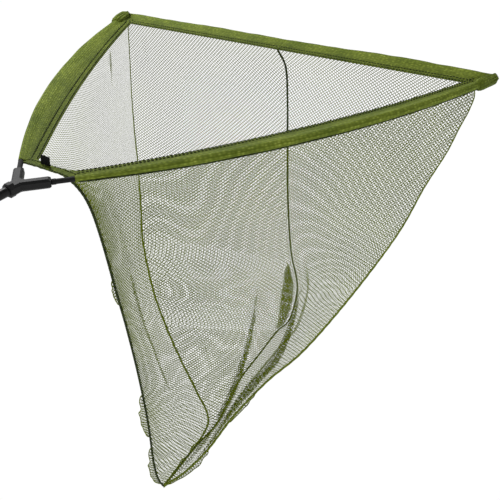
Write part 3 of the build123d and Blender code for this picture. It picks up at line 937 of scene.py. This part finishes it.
def make_label():
    """A plain woven tag sewn to the hem by its lower edge and standing up from it."""
    width, height, thickness = 0.0205, 0.0165, 0.0009
    low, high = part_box("label_tag")
    foot = (np.array(low) + np.array(high)) / 2 - HEAD
    across = np.linspace(-0.5, 0.5, 14)
    rings = []
    for t in np.linspace(0, 1, 26):
        lean = -0.0030 * t**1.5
        curve = 0.0016 * np.cos(pi * across) * sin(pi * t) + 0.001 * t * across
        y = foot[1] + across * width + lean
        x = foot[0] + curve
        z = np.full_like(across, 0.0010 + height * t)
        edge = 0.55 + 0.45 * (abs(t - 0.5) < 0.48)
        front = np.stack([x - thickness / 2 * edge, y, z], 1)
        back = np.stack([x + thickness / 2 * edge, y, z], 1)[::-1]
        rings.append(np.vstack([front, back]))
    points, quads = capped_tube(np.array(rings))
    tag = new_mesh("side_tag", points, quads, LABEL)
    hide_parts("label_tag")
    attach(tag, "head")


POCKET_START = {"left": -0.062, "right": -0.050}  # from the middle of the arm's tip cap
POCKET_BULK = {"left": 1.22, "right": 0.96}  # shares of the usual radius


def make_corner_pockets():
    """A gathered cap of sleeve cloth over each arm's tip."""
    for side, hand in SIDES:
        low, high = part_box(f"arm_tip_{hand}")
        tip = (np.array(low) + np.array(high)) / 2 - HEAD
        ahead = np.array([cos(ARM_TIP_ANGLE), side * sin(ARM_TIP_ANGLE), 0])
        part = np.linspace(0, 1, 40)
        reach = np.interp(part, (0, 1), (POCKET_START[hand], 0.0150))
        rounded = np.sqrt(np.clip(1 - np.clip((part - 0.78) / 0.225, 0, 1) ** 2, 0, 1))
        swelling = np.interp(part, (0, 0.12, 0.3, 0.65, 1), (0.72, 0.98, 1.0, 0.92, 0.80))
        radius = 0.0108 * rounded * POCKET_BULK[hand] * swelling
        angle = np.linspace(0, tau, 64, endpoint=False)
        pleats = np.cos(9 * angle[None] + 5 * part[:, None]) * (0.35 + part[:, None])
        gather = 1 + 0.16 * pleats * np.cos(4 * angle[None] + 1.3 + side)
        around = np.outer(np.cos(angle), (-ahead[1], ahead[0], 0)) + np.outer(np.sin(angle), (0, 0, 1.15))
        line = tip + ahead * reach[:, None] - np.array([0, 0, 0.0010])
        rings = line[:, None] + around[None] * (radius[:, None] * gather)[..., None]
        points, quads = capped_tube(rings)
        pocket = new_mesh(f"corner_pocket_{hand}", points, quads, SLEEVE_CLOTH)
        lengths = np.r_[reach[0], reach, reach[-1]]
        weave = np.stack([np.repeat(lengths, len(angle)), np.tile(angle * 0.009, len(lengths))], 1)
        lay_weave(pocket, quads, weave)
        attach(pocket, f"{hand}_arm")


# ------------------------ spreader, arms and handle
ROOT_START, ROOT_END = 0.0505, 0.094  # the black sheath between a socket's mouth and the sleeve
ROOT_RADIUS = 0.0041
ROOT_LIP, LIP_RISE = 0.006, 0.0006  # the thicker lip at its socket end


def make_arm_roots():
    """A short black sheath over each arm where it leaves the spreader."""
    along = np.linspace(ROOT_START, ROOT_END, 24)
    for side, hand in SIDES:
        points, _ = arm_line(along)
        radius = ROOT_RADIUS + np.where(along < ROOT_START + ROOT_LIP, LIP_RISE, 0)
        root = rope(f"arm_root_{hand}", points * (1, side, 1), radius, RUBBER, depth=0, around=28)
        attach(root, f"{hand}_arm")


def finish_cad_nodes():
    """The CAD nodes whose shapes are right get their materials."""
    finishes = (
        (BLOCK_PLASTIC, ("spreader_block", "arm_tip_left", "arm_tip_right",
                         "handle_ferrule", "handle_tip_bush", "handle_collar")),
        (ARM_LACQUER, ("arm_left", "arm_right")),
        (TUBE_LACQUER, ("handle_tip_section", "handle_butt_section")),
        (RUBBER, ("stud_washer", "handle_butt_cap")),
        (BRASS, ("spreader_stud",)),
    )
    for finish, nodes in finishes:
        for node in nodes:
            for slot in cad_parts[node].material_slots:
                slot.material = finish


# ------------------------ stage, light and camera
FLOOR_HALF, FLOOR_Z = 60.0, -1.6
GLOW, SKY_OVERHEAD = 1.02, 0.08  # of the floor and the sky near the horizon, and the share left overhead


def make_stage():
    """A luminous white floor well below the net, under a sky that is dim overhead."""
    corners = [(x * FLOOR_HALF, y * FLOOR_HALF, FLOOR_Z) for x, y in ((-1, -1), (1, -1), (1, 1), (-1, 1))]
    white, tree, shader = material("studio_floor", Roughness=0.9, Base_Color=(0, 0, 0, 1),
                                   Specular_IOR_Level=0, Emission_Strength=GLOW)
    glow = colour_ramp(tree, noise(tree, 0.4), [(0.3, (0.99, 0.99, 0.99)), (0.7, (1, 1, 1))])
    tree.links.new(glow, shader.inputs["Emission Color"])
    floor = new_mesh("floor", corners, [(0, 1, 2, 3)], white, smooth=False)
    world = bpy.data.worlds.new("studio")
    bpy.context.scene.world = world
    world.use_nodes = True
    tree = world.node_tree
    towards = add_node(tree, "ShaderNodeTexCoord").outputs["Generated"]
    upward = add_node(tree, "ShaderNodeSeparateXYZ", {"Vector": towards}).outputs["Z"]
    sky = colour_ramp(tree, upward, [(0.38, (1, 1, 1)), (0.70, (SKY_OVERHEAD,) * 3)])
    tree.links.new(sky, tree.nodes["Background"].inputs["Color"])
    tree.nodes["Background"].inputs["Strength"].default_value = GLOW


def area_light(name, place, aim, size, power):
    """A large soft light aimed at a point, both in head coordinates."""
    data = bpy.data.lights.new(name, "AREA")
    data.shape = "DISK"
    data.size = size
    data.energy = power
    lamp = bpy.data.objects.new(name, data)
    lamp.location = Vector(place) + Vector(HEAD)
    lamp.rotation_euler = (Vector(aim) - Vector(place)).to_track_quat("-Z", "Y").to_euler()
    bpy.context.scene.collection.objects.link(lamp)


CAMERA_PLACE = (-0.5806, -0.8031, 0.4914)  # in head coordinates
CAMERA_RIGHT = (0.5448, -0.8382, -0.0257)
CAMERA_UP = (0.4751, 0.2832, 0.8331)
CAMERA_AHEAD = (0.6910, 0.4661, -0.5525)


def make_camera():
    """The camera, above and behind the net on its right side, and rolled."""
    data = bpy.data.cameras.new("camera")
    data.sensor_width = 36.0
    data.lens = 51.13
    turn = Matrix((CAMERA_RIGHT, CAMERA_UP, [-a for a in CAMERA_AHEAD])).transposed().to_4x4()
    camera = bpy.data.objects.new("camera", data)
    camera.matrix_world = Matrix.Translation(Vector(CAMERA_PLACE) + Vector(HEAD)) @ turn
    bpy.context.scene.collection.objects.link(camera)
    bpy.context.scene.camera = camera


make_camera()
make_stage()
area_light("key", (1.0, 1.5, 2.0), aim=(0.4, 0, -0.2), size=1.0, power=80)
area_light("fill", (-1.6, -1.9, 1.7), aim=(0.3, 0, -0.3), size=2.0, power=4)
bpy.context.scene.view_settings.view_transform = "Standard"
finish_cad_nodes()
make_bag()
make_side_sleeves()
make_front_sleeve()
make_hem()
make_label()
make_corner_pockets()
make_arm_roots()
